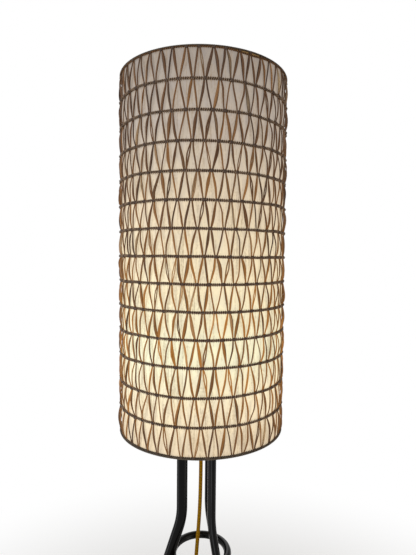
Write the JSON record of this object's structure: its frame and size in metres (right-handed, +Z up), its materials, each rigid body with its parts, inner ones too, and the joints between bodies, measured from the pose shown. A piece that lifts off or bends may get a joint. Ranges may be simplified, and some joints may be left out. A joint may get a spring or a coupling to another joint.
{
  "type": "floor lamp",
  "caption": "Tall drum shade of laced raffia over a lit liner, on a lampholder and splayed bent-tube tripod with a brace ring, textile flex, foot switch and plug.",
  "frame": {"origin": "on the floor, at the middle of the lamp's box seen from above, flex left out; the lamp's own axis stands at x = +61.6 mm, y = 0", "axes": "+Z up along the shade, -X towards the left leg, the picture's camera on the -Y side"},
  "size_m": [0.4264, 0.478, 1.5],
  "materials": {
    "parchment": "translucent cream parchment, lit from inside",
    "raffia": "natural raffia ribbon, matt with a slight sheen",
    "twine": "two-ply twisted twine, matt",
    "binding": "woven raffia tape, matt",
    "rim_wire": "cream painted wire, satin",
    "black_lacquer": "glossy black lacquer",
    "rubber": "matt black rubber",
    "zinc": "zinc plated steel",
    "brass": "plain brass",
    "holder_plastic": "black moulded, satin",
    "ceramic": "white ceramic, glazed",
    "bulb_metal": "nickelled screw cap",
    "opal_glass": "opal glass, lit",
    "flex_textile": "braided mustard textile over round flex",
    "tie_strap": "black woven hook-and-loop strap",
    "switch_plastic": "black moulded, semi-gloss",
    "button_plastic": "black moulded, semi-gloss",
    "plug_plastic": "black moulded, satin",
    "pin_metal": "nickelled pins"
  },
  "bodies": {
    "stand": {"hub_plate": "black_lacquer", "brace_ring": "black_lacquer", "nipple": "zinc", "lock_nut": "zinc", "strain_relief": "rubber", "holder_base": "holder_plastic", "holder_core": "ceramic", "lead_in": "flex_textile", "holder_sleeve": "holder_plastic", "centre_contact": "brass", "side_contact": "brass", "cord_drop": "flex_textile", "cord_lead": "flex_textile", "cord_coil": "flex_textile", "coil_tie": "tie_strap", "switch_base": "switch_plastic", "switch_cover": "switch_plastic", "plug_body": "plug_plastic", "plug_pin_left": "pin_metal", "plug_pin_right": "pin_metal", "leg_left": "black_lacquer", "foot_left": "rubber", "leg_plug_left": "zinc", "hub_screw_left": "zinc", "leg_front": "black_lacquer", "foot_front": "rubber", "leg_plug_front": "zinc", "hub_screw_front": "zinc", "leg_rear": "black_lacquer", "foot_rear": "rubber", "leg_plug_rear": "zinc", "hub_screw_rear": "zinc"},
    "shade": {"shade_liner": "parchment", "raffia_weave": "raffia", "twine_01": "twine", "twine_02": "twine", "twine_03": "twine", "twine_04": "twine", "twine_05": "twine", "twine_06": "twine", "twine_07": "twine", "twine_08": "twine", "twine_09": "twine", "twine_10": "twine", "twine_11": "twine", "twine_12": "twine", "twine_13": "twine", "bottom_binding": "binding", "top_binding": "binding", "bottom_rim_wire": "rim_wire", "top_rim_wire": "rim_wire", "carrier_washer": "rim_wire", "carrier_arm_1": "rim_wire", "carrier_arm_2": "rim_wire", "carrier_arm_3": "rim_wire"},
    "clamp": {"clamp_ring": "holder_plastic"},
    "bulb": {"bulb_cap": "bulb_metal", "bulb_collar": "ceramic", "bulb_globe": "opal_glass"},
    "button": {"switch_button": "button_plastic"}
  },
  "joints": [
    {"name": "shade_turn", "type": "hinge", "parent": "stand", "child": "shade", "pos_m": [0.06165, 0, 0.916], "axis": [0, 0, 1], "continuous": true},
    {"name": "clamp_ring_turn", "type": "hinge", "parent": "stand", "child": "clamp", "pos_m": [0.06165, 0, 0.921], "axis": [0, 0, 1], "continuous": true},
    {"name": "bulb_turn", "type": "hinge", "parent": "stand", "child": "bulb", "pos_m": [0.06165, 0, 0.936], "axis": [0, 0, 1], "continuous": true},
    {"name": "switch_press", "type": "slide", "parent": "stand", "child": "button", "axis": [0, 0, -1], "range_m": [0, 0.0025], "stiffness_N_per_m": 800}
  ]
}
